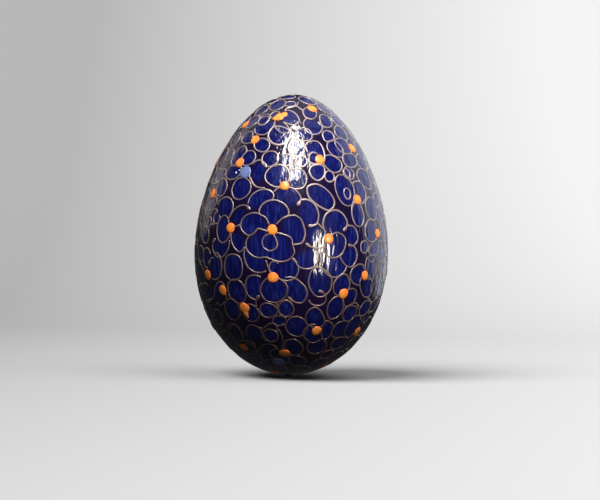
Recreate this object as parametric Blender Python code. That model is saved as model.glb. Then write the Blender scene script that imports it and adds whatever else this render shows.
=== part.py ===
"""Pysanka decorated egg: a blown goose egg, plugged, lacquered and painted with raised contour lines.

The frame has +Z up along the egg's axis with the pointed end up, +Y away from whoever faces the
front, and +X to that person's right. The origin is the middle of the plug's flat underside. All
sizes below are millimetres, and make_solid turns them into metres.
"""

import math

import bpy

MM = 0.001

# The outside of the lacquer coat. Its radius is GIRTH * sin(a) * (1 + the SHAPE series in cos(a)),
# where a is the polar angle from the pointed end.
HALF_LENGTH = 41.95
GIRTH = 28.64
SHAPE = (-0.1432, -0.0317, 0.0252)
NUB_DROP = 0.9
MIDDLE = NUB_DROP + HALF_LENGTH

# The wall, from the outside in: each layer is separated from the next by CLEARANCE.
CLEARANCE = 0.3
COAT_THICK = 0.3
SHELL_THICK = 0.6
MEMBRANE_THICK = 0.15
COAT_INSIDE = COAT_THICK
SHELL_OUTSIDE = COAT_INSIDE + CLEARANCE
SHELL_INSIDE = SHELL_OUTSIDE + SHELL_THICK
OUTER_MEMBRANE_OUTSIDE = SHELL_INSIDE + CLEARANCE
OUTER_MEMBRANE_INSIDE = OUTER_MEMBRANE_OUTSIDE + MEMBRANE_THICK
INNER_MEMBRANE_OUTSIDE = OUTER_MEMBRANE_INSIDE + CLEARANCE
INNER_MEMBRANE_INSIDE = INNER_MEMBRANE_OUTSIDE + MEMBRANE_THICK

HOLE_RADIUS = 1.2
STEM_RADIUS = HOLE_RADIUS - CLEARANCE
NUB_RADIUS = 1.6
NUB_FLAT_RADIUS = 1.0
PLUG_FLANGE_RADIUS = 1.7
PLUG_FLANGE_THICK = 0.7
AIR_CELL_RIM = 9.0  # height at which the inner membrane leaves the outer one
AIR_CELL_DISH = 1.5  # how far the middle of the free membrane sags below that rim
PIERCED_RADIUS = 2.5

# Relief paint, lifted off the coat so that no facet of one touches a facet of the other.
RELIEF_LIFT = 0.25
LINE_HEIGHT = 0.3
LINE_WIDTH = 0.75
DOT_RADIUS = 1.6
DOT_HEIGHT = 0.5
DOT_SIDES = 9
BLUE_DAB_RADIUS = 1.7

COAT_SIDES, COAT_RINGS = 36, 18
SHELL_SIDES, SHELL_RINGS = 28, 14
MEMBRANE_SIDES, MEMBRANE_RINGS = 24, 14
PLUG_SIDES = 16

# Flower middles as (longitude in degrees, height): 0 faces the front and longitude grows to the right.
FRONT_FLOWERS = (
    (27, 80.0), (-17, 77.2), (-63, 75.0), (-35, 70.1), (57, 68.5),
    (20, 64.5), (-42, 63.3), (-5, 56.6), (-62, 54.2), (45, 53.3),
    (-38, 44.2), (-11, 43.9), (62, 43.6), (22, 41.7),
    (-58, 30.4), (49, 31.3), (-10, 30.3), (-45, 26.1), (34, 26.0),
    (-30, 21.3), (20, 15.1), (61, 14.6), (-45, 9.5), (-4, 8.3), (-34, 1.9),
)  # fmt: skip
BACK_FLOWERS = (
    (105, 77.0), (-140, 83.6), (-118, 75.0),
    (98, 63.5), (143, 62.0), (188, 63.0), (-128, 62.0), (-84, 64.0),
    (104, 47.5), (142, 46.5), (180, 48.0), (-142, 47.0), (-103, 47.5),
    (88, 32.5), (124, 31.5), (161, 32.5), (-162, 31.5), (-126, 32.5), (-94, 31.0),
    (103, 16.5), (148, 16.0), (-168, 16.5), (-124, 16.0), (-86, 15.0),
    (62, 4.2), (-150, 4.4),
)  # fmt: skip
FLOWERS = FRONT_FLOWERS + BACK_FLOWERS
BLUE_DAB = (-34, 59.6)

# Flower outlines: a rosette of petals that runs in to WAIST between petals and out to REACH.
PETALS = 5
STEPS_PER_PETAL = 5
REACH = 10.4
PETAL_FULLNESS = 0.55  # the lower, the squarer the petals
WAIST = DOT_RADIUS + CLEARANCE + LINE_WIDTH / 2
HOLE_AT_WAIST = DOT_RADIUS + CLEARANCE
FLOWER_TURN = 0.8  # radians that each flower is turned from the one before
FLOWER_GAP = 0.36
WELD_REACH = 3.4  # outline edges further apart than this aren't joined
# Heights at which the tracery is parted into separate nets, pointed end first.
TRACERY_ZONES = (("upper", 58.5, 99.0), ("middle", 24.0, 58.5), ("lower", 0.0, 24.0))


def clear_scene():
    for obj in list(bpy.data.objects):
        bpy.data.objects.remove(obj, do_unlink=True)


def make_solid(name, points, faces):
    """One object of the part, from points in millimetres."""
    mesh = bpy.data.meshes.new(name)
    mesh.from_pydata([[value * MM for value in point] for point in points], [], faces)
    mesh.validate()
    obj = bpy.data.objects.new(name, mesh)
    bpy.context.scene.collection.objects.link(obj)
    return obj


def coat_profile(angle):
    """(radius, height) of the outside of the coat at this polar angle."""
    along = math.cos(angle)
    fullness = 1 + sum(share * along ** (power + 1) for power, share in enumerate(SHAPE))
    return GIRTH * math.sin(angle) * fullness, MIDDLE + HALF_LENGTH * along


def profile_slope(angle):
    """The unit tangent of the coat's profile, towards the blunt end."""
    step = 1e-4
    radius_before, height_before = coat_profile(angle - step)
    radius_after, height_after = coat_profile(angle + step)
    across, down = radius_after - radius_before, height_after - height_before
    length = math.hypot(across, down)
    return across / length, down / length


def offset_profile(angle, inward):
    """(radius, height) of the surface this far inside the coat's outside."""
    radius, height = coat_profile(angle)
    across, down = profile_slope(angle)
    return radius + down * inward, height - across * inward


def angle_where(inward, wanted):
    """The polar angle at which wanted(radius, height) turns true on the lower half of this surface."""
    low, high = 0.5 * math.pi, math.pi
    for _ in range(50):
        middle = (low + high) / 2
        if wanted(*offset_profile(middle, inward)):
            high = middle
        else:
            low = middle
    return high


def wall_side(inward, end_angle, rings):
    """Profile points of one side of a wall, from the pointed end's pole down to end_angle."""
    points = [offset_profile(end_angle * ring / rings, inward) for ring in range(rings + 1)]
    return [(0.0, points[0][1])] + points[1:]


def revolve(name, profile, sides):
    """Turns a profile about Z. It starts and ends on the axis, and runs down the outer side first."""
    points, faces = [], []
    first = (0.0, 0.0, profile[0][1])
    last = (0.0, 0.0, profile[-1][1])
    rings = profile[1:-1]
    for radius, height in rings:
        for side in range(sides):
            turn = 2 * math.pi * side / sides
            points.append((radius * math.cos(turn), radius * math.sin(turn), height))
    top, bottom = len(points), len(points) + 1
    points += [first, last]
    for side in range(sides):
        following = (side + 1) % sides
        faces.append((top, side, following))
        for ring in range(len(rings) - 1):
            here, below = ring * sides, (ring + 1) * sides
            faces.append((here + side, below + side, below + following, here + following))
        lowest = (len(rings) - 1) * sides
        faces.append((bottom, lowest + following, lowest + side))
    return make_solid(name, points, faces)


def make_wall(name, outside, inside, sides, rings):
    """A closed wall around the egg, open only at the blow hole."""
    def beyond_hole(radius, _):
        return radius < HOLE_RADIUS

    outer = wall_side(outside, angle_where(outside, beyond_hole), rings)
    inner = wall_side(inside, angle_where(inside, beyond_hole), rings)
    return revolve(name, outer + inner[::-1], sides)


def make_inner_membrane():
    """The membrane that spans the blunt end as a shallow dish over the air cell, with a hole in it."""
    def below_rim(_, height):
        return height < AIR_CELL_RIM

    outer, inner = (
        wall_side(inward, angle_where(inward, below_rim), MEMBRANE_RINGS)
        for inward in (INNER_MEMBRANE_OUTSIDE, INNER_MEMBRANE_INSIDE)
    )
    rim_radius, rim_height = outer[-1]
    dish = []
    for share in (0.66, 0.33, 0.0):
        radius = PIERCED_RADIUS + (rim_radius - PIERCED_RADIUS) * share
        dish.append((radius, rim_height - AIR_CELL_DISH * (1 - share**2)))
    dish_inside = [(radius, height + MEMBRANE_THICK) for radius, height in dish[::-1]]
    rim_inside = (inner[-1][0], inner[-1][1] + MEMBRANE_THICK)
    profile = outer + dish + dish_inside + [rim_inside] + inner[-2::-1]
    return revolve("inner_membrane", profile, MEMBRANE_SIDES)


def make_plug():
    """The plug: a nub outside, a stem through the blow hole, and a flange that holds it from inside."""
    nub_top = NUB_DROP - CLEARANCE
    flange_bottom = NUB_DROP + OUTER_MEMBRANE_INSIDE + CLEARANCE
    flange_top = flange_bottom + PLUG_FLANGE_THICK
    profile = [
        (0.0, flange_top),
        (PLUG_FLANGE_RADIUS - 0.3, flange_top),
        (PLUG_FLANGE_RADIUS, flange_top - 0.3),
        (PLUG_FLANGE_RADIUS, flange_bottom),
        (STEM_RADIUS, flange_bottom),
        (STEM_RADIUS, nub_top),
        (NUB_RADIUS, nub_top),
        (NUB_RADIUS - 0.1, 0.3 * nub_top),
        (NUB_FLAT_RADIUS, 0.0),
        (0.0, 0.0),
    ]
    return revolve("blow_hole_plug", profile, PLUG_SIDES)


def surface_at(longitude, angle, lift):
    """The point this far outside the coat, with longitude in radians from the front."""
    radius, height = offset_profile(angle, -lift)
    return radius * math.sin(longitude), -radius * math.cos(longitude), height


def angle_at_height(height):
    """The polar angle of the coat's points at this height."""
    return math.acos((height - MIDDLE) / HALF_LENGTH)


def nearest_on_coat(point):
    """(longitude, polar angle) of the coat's point nearest to this one."""
    across, height = math.hypot(point[0], point[1]), point[2]
    angle = math.acos(max(-0.999, min(0.999, (height - MIDDLE) / HALF_LENGTH)))
    for _ in range(12):
        radius, here = coat_profile(angle)
        slope = profile_slope(angle)
        angle += ((across - radius) * slope[0] + (height - here) * slope[1]) / HALF_LENGTH
    return math.atan2(point[0], -point[1]), angle


class Spot:
    """A place on the coat, with the directions to the right and up that lie on the surface there."""

    def __init__(self, longitude, height):
        turn = math.radians(longitude)
        sine, cosine = math.sin(turn), math.cos(turn)
        angle = angle_at_height(height)
        across, down = profile_slope(angle)
        self.middle = surface_at(turn, angle, 0.0)
        self.right = (cosine, sine, 0.0)
        self.up = (-across * sine, across * cosine, -down)

    def offset(self, right, up, lift=0.0):
        """The point at these distances over the surface, at this lift."""
        flat = [self.middle[i] + self.right[i] * right + self.up[i] * up for i in range(3)]
        return surface_at(*nearest_on_coat(flat), lift)


def distance_to_divide(point, own, other):
    """How far this point is from the plane midway between two flowers, on its own flower's side."""
    return (math.dist(point, other) ** 2 - math.dist(point, own) ** 2) / (2 * math.dist(own, other))


def fitted_reach(spot, turn, reach, neighbours):
    """(reach, neighbour): the reach cut short so the line clears the divide with each neighbour."""
    margin = (LINE_WIDTH + FLOWER_GAP) / 2
    met = None
    across, along = math.cos(turn), math.sin(turn)

    def clear_of(neighbour, length):
        point = spot.offset(length * across, length * along)
        return distance_to_divide(point, spot.middle, neighbour) > margin

    for number, neighbour in neighbours:
        if clear_of(neighbour, reach):
            continue
        low, high = 0.0, reach
        for _ in range(14):
            middle = (low + high) / 2
            if clear_of(neighbour, middle):
                low = middle
            else:
                high = middle
        reach, met = low, number
    return reach, met


def flower_outline(number, spots):
    """The outline's points in the flower's own plane, and the neighbour that each one stops at."""
    spot = spots[number]
    near = [("plug", (0.0, 0.0, NUB_DROP))]
    near += [
        (other, spots[other].middle)
        for other in range(len(spots))
        if other != number and math.dist(spots[other].middle, spot.middle) < 2.2 * REACH
    ]
    points, met = [], []
    for step in range(PETALS * STEPS_PER_PETAL):
        turn = 2 * math.pi * step / (PETALS * STEPS_PER_PETAL) + FLOWER_TURN * number
        swell = abs(math.sin(math.pi * step / STEPS_PER_PETAL)) ** PETAL_FULLNESS
        reach, neighbour = fitted_reach(spot, turn, WAIST + (REACH - WAIST) * swell, near)
        points.append((reach * math.cos(turn), reach * math.sin(turn)))
        met.append(neighbour)
    return points, met


def line_edges(points):
    """The inner and outer edges of a line of LINE_WIDTH along a closed outline."""
    inner, outer = [], []
    for step, (x, y) in enumerate(points):
        before, after = points[step - 1], points[(step + 1) % len(points)]
        into, onward = unit(x - before[0], y - before[1]), unit(after[0] - x, after[1] - y)
        across = unit(into[1] + onward[1], -into[0] - onward[0])
        mitre = min(LINE_WIDTH / 2 / max(0.3, across[0] * onward[1] - across[1] * onward[0]), LINE_WIDTH)
        outer.append((x + across[0] * mitre, y + across[1] * mitre))
        x, y = x - across[0] * mitre, y - across[1] * mitre
        widen = max(1.0, HOLE_AT_WAIST / math.hypot(x, y))
        inner.append((x * widen, y * widen))
    return inner, outer


def unit(x, y):
    length = math.hypot(x, y)
    return x / length, y / length


class Net:
    """Flower outlines joined where they meet, as a flat net that is then given LINE_HEIGHT."""

    def __init__(self):
        self.places = []  # (spot, x, y) of each corner
        self.merged = {}  # a corner that gave way to another
        self.quads = []

    def add_outline(self, spot, points):
        """Adds a closed line and returns the corners of its outer edge."""
        inner, outer = line_edges(points)
        first = len(self.places)
        count = len(points)
        self.places += [(spot, x, y) for x, y in inner + outer]
        for step in range(count):
            following = (step + 1) % count
            self.quads.append(
                (first + step, first + count + step, first + count + following, first + following)
            )
        return [first + count + step for step in range(count)]

    def solid(self, name):
        """The net as one object."""
        kept = sorted({self.merged.get(corner, corner) for quad in self.quads for corner in quad})
        index = {corner: position for position, corner in enumerate(kept)}
        count = len(kept)
        points = []
        for lift in (RELIEF_LIFT, RELIEF_LIFT + LINE_HEIGHT):
            for corner in kept:
                spot, x, y = self.places[corner]
                points.append(spot.offset(x, y, lift))
        top = [
            tuple(index[self.merged.get(corner, corner)] + count for corner in quad)
            for quad in self.quads
        ]
        edges = {(quad[i], quad[(i + 1) % 4]) for quad in top for i in range(4)}
        faces = list(top)
        faces += [tuple(corner - count for corner in quad[::-1]) for quad in top]
        faces += [
            (start, start - count, end - count, end)
            for start, end in sorted(edges)
            if (end, start) not in edges
        ]
        return make_solid(name, points, faces)


def weld_flowers(net, outers, mets, corner_points, first, second):
    """Joins two touching outlines along one outer edge of each, where both have an edge free."""
    best = None
    for i in touching_edges(mets[first], second):
        for j in touching_edges(mets[second], first):
            here = (outers[first][i], outers[first][(i + 1) % len(outers[first])])
            there = (outers[second][(j + 1) % len(outers[second])], outers[second][j])
            if any(corner in net.merged or corner in net.merged.values() for corner in here + there):
                continue
            apart = max(math.dist(corner_points[a], corner_points[b]) for a, b in zip(here, there))
            if apart < WELD_REACH and (best is None or apart < best[0]):
                best = (apart, here, there)
    if best is not None:
        for kept, dropped in zip(best[1], best[2]):
            net.merged[dropped] = kept


def touching_edges(met, other):
    """Steps of an outline with an end that stops at this neighbour."""
    return [step for step in range(len(met)) if other in (met[step], met[(step + 1) % len(met)])]


def make_dab(name, spot, radius):
    """A domed dab of paint."""
    points = [spot.offset(0.0, 0.0, RELIEF_LIFT)]
    for share, lift in ((1.0, RELIEF_LIFT), (0.8, RELIEF_LIFT + 0.8 * DOT_HEIGHT)):
        for side in range(DOT_SIDES):
            turn = 2 * math.pi * side / DOT_SIDES
            points.append(spot.offset(radius * share * math.cos(turn), radius * share * math.sin(turn), lift))
    points.append(spot.offset(0.0, 0.0, RELIEF_LIFT + DOT_HEIGHT))
    faces = []
    for side in range(DOT_SIDES):
        following = (side + 1) % DOT_SIDES
        faces.append((0, 1 + following, 1 + side))
        faces.append((1 + side, 1 + following, 1 + DOT_SIDES + following, 1 + DOT_SIDES + side))
        faces.append((1 + DOT_SIDES + side, 1 + DOT_SIDES + following, len(points) - 1))
    return make_solid(name, points, faces)


def make_tracery(spots):
    """The nets of flower outlines, one for each zone."""
    outlines = [flower_outline(number, spots) for number in range(len(spots))]
    for zone, lowest, highest in TRACERY_ZONES:
        members = [number for number, (_, height) in enumerate(FLOWERS) if lowest <= height < highest]
        net = Net()
        outers = {number: net.add_outline(spots[number], outlines[number][0]) for number in members}
        mets = {number: outlines[number][1] for number in members}
        corner_points = {}
        for outer in outers.values():
            for corner in outer:
                spot, x, y = net.places[corner]
                corner_points[corner] = spot.offset(x, y)
        for first in members:
            for second in members:
                if first < second:
                    weld_flowers(net, outers, mets, corner_points, first, second)
        net.solid(f"tracery_{zone}")


def main():
    clear_scene()
    make_wall("lacquer_coat", 0.0, COAT_INSIDE, COAT_SIDES, COAT_RINGS)
    make_wall("eggshell", SHELL_OUTSIDE, SHELL_INSIDE, SHELL_SIDES, SHELL_RINGS)
    membrane = (OUTER_MEMBRANE_OUTSIDE, OUTER_MEMBRANE_INSIDE, MEMBRANE_SIDES, MEMBRANE_RINGS)
    make_wall("outer_membrane", *membrane)
    make_inner_membrane()
    make_plug()
    spots = [Spot(longitude, height) for longitude, height in FLOWERS]
    for number, spot in enumerate(spots, 1):
        make_dab(f"dot_{number:02d}", spot, DOT_RADIUS)
    make_dab("pale_blue_dab", Spot(*BLUE_DAB), BLUE_DAB_RADIUS)
    make_tracery(spots)


main()
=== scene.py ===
"""The looks of a pysanka decorated egg: navy lacquer under raised copper-gold contour lines.

Sizes and places on the egg are millimetres in the CAD frame and turn into metres when a mesh is
made. A place on the egg is (longitude in degrees, height): longitude 0 faces the front, and it
grows to the viewer's right.
"""

import math

import bpy
import numpy as np
from mathutils import Matrix, Vector, kdtree


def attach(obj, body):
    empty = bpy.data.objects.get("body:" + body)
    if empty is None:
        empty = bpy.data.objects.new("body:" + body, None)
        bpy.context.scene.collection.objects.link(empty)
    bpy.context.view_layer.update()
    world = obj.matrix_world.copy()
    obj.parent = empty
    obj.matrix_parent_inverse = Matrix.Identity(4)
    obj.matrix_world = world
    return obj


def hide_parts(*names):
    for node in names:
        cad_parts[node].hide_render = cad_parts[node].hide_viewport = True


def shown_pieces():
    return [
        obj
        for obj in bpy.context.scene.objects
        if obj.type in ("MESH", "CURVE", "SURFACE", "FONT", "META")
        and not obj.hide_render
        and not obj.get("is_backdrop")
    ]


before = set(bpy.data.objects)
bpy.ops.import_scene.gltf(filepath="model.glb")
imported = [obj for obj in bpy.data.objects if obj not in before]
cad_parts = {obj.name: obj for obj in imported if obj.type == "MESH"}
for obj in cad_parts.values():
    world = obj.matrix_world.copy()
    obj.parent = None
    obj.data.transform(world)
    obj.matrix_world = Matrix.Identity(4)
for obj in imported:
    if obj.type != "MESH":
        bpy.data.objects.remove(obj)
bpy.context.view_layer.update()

MM = 0.001
SEED = 20

# The lacquer's outside, as part.py has it: its radius is GIRTH * sin(a) * (1 + the SHAPE series in
# cos(a)), where a is the angle from the pointed end.
HALF_LENGTH = 41.95
NUB_DROP = 0.9
MIDDLE = NUB_DROP + HALF_LENGTH
GIRTH = 28.64
SHAPE = (-0.1432, -0.0317, 0.0252)
HOLE_RADIUS = 1.2

COAT_COLUMNS, COAT_ROWS = 420, 260

# Raised contour lines: half-round beads with their feet sunk a little into the lacquer.
LINE_WIDTH = 0.55
LINE_HEIGHT = 0.1
LINE_FOOT = -0.08
LINE_STEP = 0.4
LINE_STOP = 0.96  # how far out in a petal, as a share of its reach, a cut line still stops
LEAST_RUN = 4  # points: a stretch of a cut line that is no longer than this is left out
OVAL_POINTS = 24
PETAL_FADE = 0.3  # the share of a petal over which its blue fades in from the edge
BULB_SHARE = 0.3  # of the strokes that end at another line, how many end in a bulb
LEAST_FILLER, MOST_FILLER = 1.5, 2.6
GAP_TRIES = 6000
MAP_REACH = 18.0  # how far from its middle a spot's flat map goes

DOT_RADIUS = 1.55
DOT_HEIGHT = 0.28
# The side of a dab, from its top to under its edge: (share of the radius, share of the height).
DOME = (
    (0.0, 1.0), (0.25, 0.985), (0.5, 0.93), (0.7, 0.82),
    (0.86, 0.62), (0.95, 0.38), (1.0, 0.05), (0.98, -0.2),
)  # fmt: skip
BLUE_DAB = (-34.3, 60.4)
BLUE_DAB_RADIUS = 2.0
LOW_BLUE_DAB = (-12, 5.4)
LOW_BLUE_RADIUS, LOW_BLUE_HEIGHT = 1.9, 0.2
# Paint that spread out of a dot: the dot's number, then each blot's right, up and radius.
SMEARS = (
    (2, ((1.1, 0.9, 1.1), (-1.0, -0.7, 1.1))),
    (20, ((0.2, -1.5, 0.85), (0.4, -2.2, 0.6), (0.5, -2.8, 0.4))),
)
SMEAR_HEIGHT = 0.25
# Each white speck: longitude, height on the egg, radius.
WHITE_SPECKS = ((-42.5, 60.3, 0.35), (-39.8, 61.0, 0.28))
SPECK_HEIGHT = 0.15

# The nub, the stem and the flange of the plug, from below upwards: (radius, height).
PLUG_PROFILE = (
    (0.55, 0.01), (0.95, 0.07), (1.25, 0.2), (1.42, 0.4), (1.5, 0.6), (1.62, 0.78), (1.9, 0.93),
    (1.05, 1.0), (0.9, 1.2), (0.9, 2.6),
    (1.1, 2.75), (1.6, 2.85), (1.7, 3.0), (1.65, 3.3), (1.35, 3.42),
)  # fmt: skip

# Heights at which the tracery is parted, as the CAD nets are.
ZONES = (("upper", 58.5, 99.0), ("middle", 24.0, 58.5), ("lower", 0.0, 24.0))

# Each light: (name, azimuth, elevation, distance, (width, height), radiance, colour, matt, glossy), in
# degrees and metres. Azimuth 0 is the viewer's side, and it grows to the viewer's right. Matt says
# whether the light falls on a surface's own colour, and glossy whether it shows in the surface's shine.
EGG_LIGHTS = (
    ("window", 1, 58, 0.6, (0.21, 0.4), 18.5, (1.0, 0.96, 0.88), False, True),
    ("skylight", 20, 47, 0.7, (0.5, 0.5), 13.5, (1, 1, 1), True, False),
    ("low_window", 36, -1, 0.6, (0.08, 0.28), 32.0, (1.0, 0.91, 0.76), False, True),
    ("right_wall", 134, 20, 0.8, (1.3, 1.0), 0.75, (0.85, 0.9, 1.0), False, True),
    ("left_wall", -130, 28, 0.9, (0.5, 0.8), 0.5, (1.0, 0.93, 0.88), True, True),
    ("overhead", 170, 78, 0.9, (1.2, 0.9), 0.35, (1, 1, 1), True, True),
)
STUDIO_LIGHTS = (
    ("floor_light", -40, 48, 2.6, (2.0, 2.0), 6.2, (1, 1, 1), True, True),
    ("floor_fill", 60, 60, 2.0, (2.0, 2.0), 1.4, (1, 1, 1), True, True),
)

# The camera is level, and a little off the egg's middle as in the photo. Metres and degrees.
CAMERA_PLACE = (0.0026, -0.55, 0.0383)
CAMERA_LENS = 110
CAMERA_ROLL = 1.3

# Kinds of line: whether it closes up, goes round a petal, ends in a bulb, or isn't drawn at all.
RING, PETAL, HOOK = "closed petal", "petal", "petal bulb"
LINE, DROP, WASH = "", "bulb", "closed petal hidden"

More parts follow.
